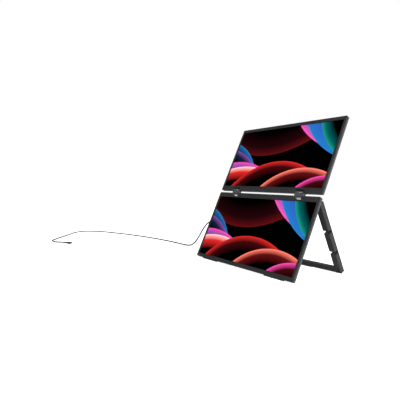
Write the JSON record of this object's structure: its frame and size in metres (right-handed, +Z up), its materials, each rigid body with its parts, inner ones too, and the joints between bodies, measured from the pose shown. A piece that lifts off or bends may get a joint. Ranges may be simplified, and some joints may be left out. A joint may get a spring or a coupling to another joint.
{
  "type": "laptop screen extender",
  "caption": "Twin portable displays joined edge to edge by double-pin hinge links, on a folding U-shaped stand, with a USB-C lead.",
  "frame": {"origin": "on the table under the middle of the object without its lead", "axes": "+X along the displays to the viewer's right, +Y from the front to the back, +Z up"},
  "size_m": [1.0418, 0.5261, 0.4076],
  "materials": {
    "bezel_plastic": "fine moulded texture, satin",
    "lcd_panel": "anti-glare front film over the liquid crystal cell",
    "backlight": "white light guide and tray",
    "cover_plastic": "fine moulded texture",
    "dark_screw": "blackened",
    "hinge_steel": "zinc plated",
    "pin_steel": "ground",
    "rubber": "matt",
    "status_lens": "diffusing",
    "circuit_board": "solder mask",
    "ribbon": "polyimide film",
    "connector_shell": "nickel plated",
    "link_metal": "dark grey satin",
    "stand_bracket_plastic": "satin",
    "stand_plastic": "fine moulded texture",
    "cap_plastic": "matt",
    "button_plastic": "satin",
    "lead_jacket": "smooth, soft",
    "plug_plastic": "satin moulding"
  },
  "bodies": {
    "lower_display": {"lower_bezel": "bezel_plastic", "lower_lcd_panel": "lcd_panel", "lower_backlight": "backlight", "lower_back_cover": "cover_plastic", "lower_hinge_bracket_left": "hinge_steel", "lower_hinge_bracket_right": "hinge_steel", "lower_hinge_pin_left": "pin_steel", "lower_hinge_pin_right": "pin_steel", "lower_bracket_screws": "dark_screw", "lower_foot_left": "rubber", "lower_foot_right": "rubber", "lower_ribbon": "ribbon", "status_light": "status_lens", "rear_housing": "cover_plastic", "main_board": "circuit_board", "usb_c_socket_high": "connector_shell", "usb_c_socket_low": "connector_shell", "mini_hdmi_socket": "connector_shell", "housing_screws": "dark_screw", "stand_bracket_left": "stand_bracket_plastic", "stand_bracket_right": "stand_bracket_plastic", "stand_bracket_screws": "dark_screw", "monitor_plug": "plug_plastic", "monitor_plug_shell": "connector_shell", "lead": "lead_jacket", "laptop_plug": "plug_plastic", "laptop_plug_shell": "connector_shell"},
    "hinge_links": {"hinge_link_left": "link_metal", "hinge_link_right": "link_metal", "hinge_ribbon": "ribbon"},
    "upper_display": {"upper_bezel": "bezel_plastic", "upper_lcd_panel": "lcd_panel", "upper_backlight": "backlight", "upper_back_cover": "cover_plastic", "upper_hinge_bracket_left": "hinge_steel", "upper_hinge_bracket_right": "hinge_steel", "upper_hinge_pin_left": "pin_steel", "upper_hinge_pin_right": "pin_steel", "upper_bracket_screws": "dark_screw", "upper_bumper_left": "rubber", "upper_bumper_right": "rubber", "upper_driver_board": "circuit_board", "upper_ribbon": "ribbon"},
    "stand": {"stand_leg_left": "stand_plastic", "stand_leg_right": "stand_plastic", "stand_crossbar": "stand_plastic", "stand_foot_strip": "rubber", "stand_pin_left": "pin_steel", "stand_pin_right": "pin_steel", "stand_corner_screws": "dark_screw", "stand_screw_caps": "cap_plastic"},
    "power_button": {"power_button": "button_plastic"},
    "menu_up_button": {"menu_up_button": "button_plastic"},
    "menu_down_button": {"menu_down_button": "button_plastic"}
  },
  "joints": [
    {"name": "lower_hinge", "type": "hinge", "parent": "lower_display", "child": "hinge_links", "pos_m": [0, -0.00672, 0.1963], "axis": [1, 0, 0], "range_deg": [0, 90]},
    {"name": "upper_hinge", "type": "hinge", "parent": "hinge_links", "child": "upper_display", "pos_m": [0, 0.00017, 0.21074], "axis": [1, 0, 0], "range_deg": [0, 90]},
    {"name": "stand_hinge", "type": "hinge", "parent": "lower_display", "child": "stand", "pos_m": [0, 0.00106, 0.18428], "axis": [-1, 0, 0], "range_deg": [0, 54.02]},
    {"name": "power_button_press", "type": "slide", "parent": "lower_display", "child": "power_button", "axis": [-1, 0, 0], "range_m": [0, 0.0005], "stiffness_N_per_m": 800, "springref_m": -0.0005},
    {"name": "menu_up_button_press", "type": "slide", "parent": "lower_display", "child": "menu_up_button", "axis": [-1, 0, 0], "range_m": [0, 0.0005], "stiffness_N_per_m": 800, "springref_m": -0.0005},
    {"name": "menu_down_button_press", "type": "slide", "parent": "lower_display", "child": "menu_down_button", "axis": [-1, 0, 0], "range_m": [0, 0.0005], "stiffness_N_per_m": 800, "springref_m": -0.0005}
  ]
}
